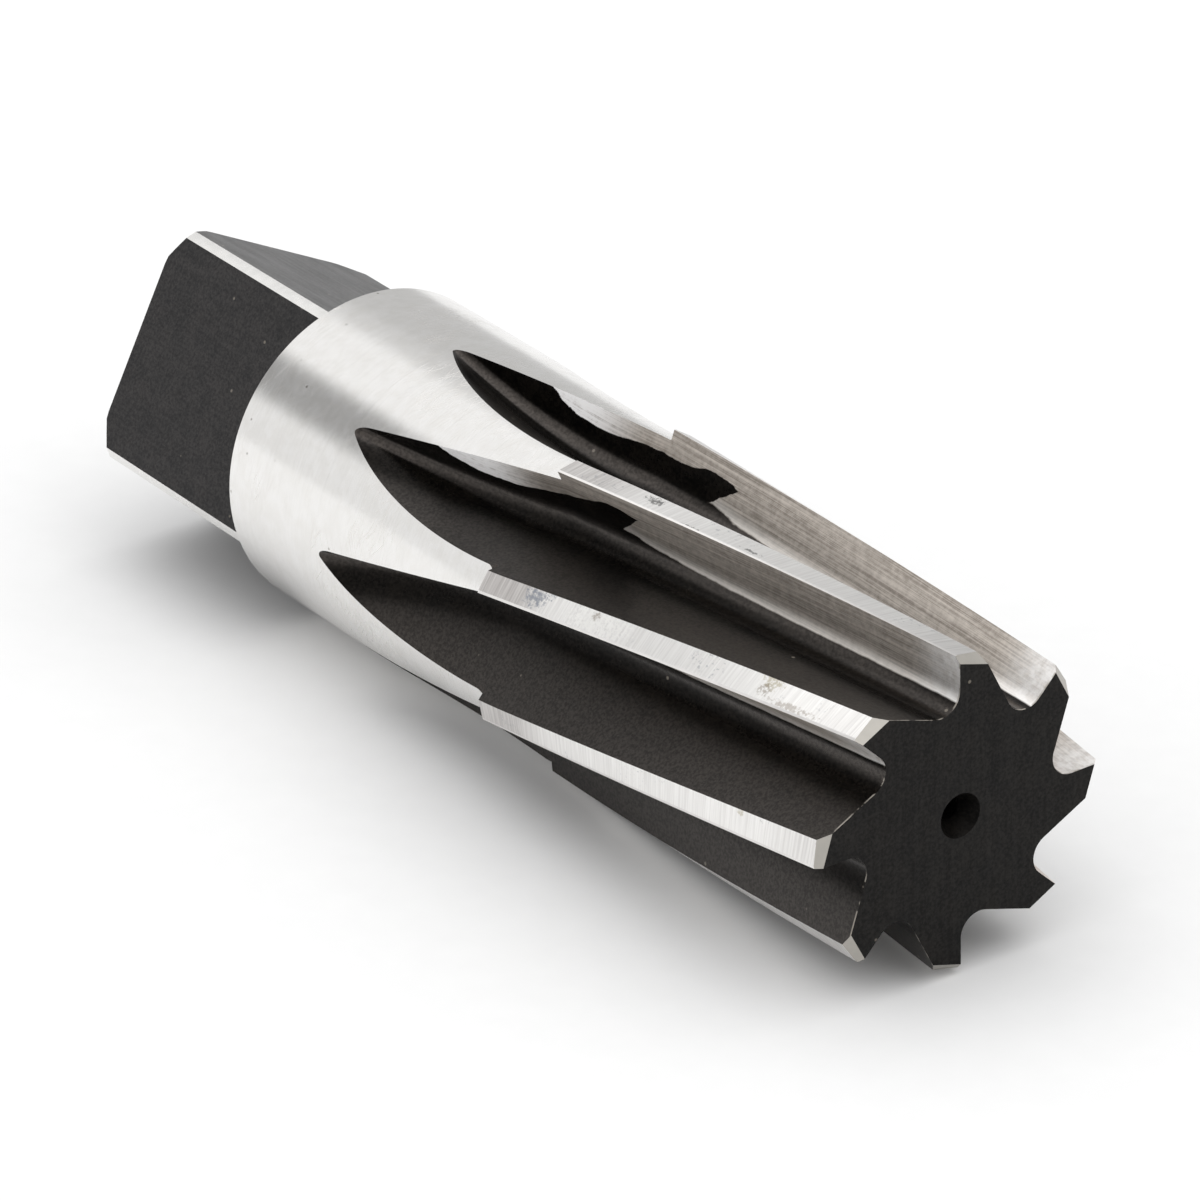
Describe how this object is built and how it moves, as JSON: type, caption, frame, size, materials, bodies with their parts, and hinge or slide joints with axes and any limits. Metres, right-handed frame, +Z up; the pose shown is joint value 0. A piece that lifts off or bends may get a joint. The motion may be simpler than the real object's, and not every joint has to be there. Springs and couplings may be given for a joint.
{
  "type": "taper pipe reamer",
  "caption": "Tapered hand reamer with spiral flutes and relieved lands on its head, a plain cylindrical shank and a square driving tang.",
  "frame": {"origin": "bottom centre of the bounding box, on the surface that the tool lies on, below the tool's axis", "axes": "+X along the tool from tang to nose, +Z up, +Y to the left of the tool"},
  "size_m": [0.0826, 0.023, 0.023],
  "materials": {
    "steel": "ground bright on the shank, lands and cutting faces, black oxide on the tang flats, flutes and end face"
  },
  "bodies": {
    "root": {"reamer": "steel"}
  },
  "joints": []
}
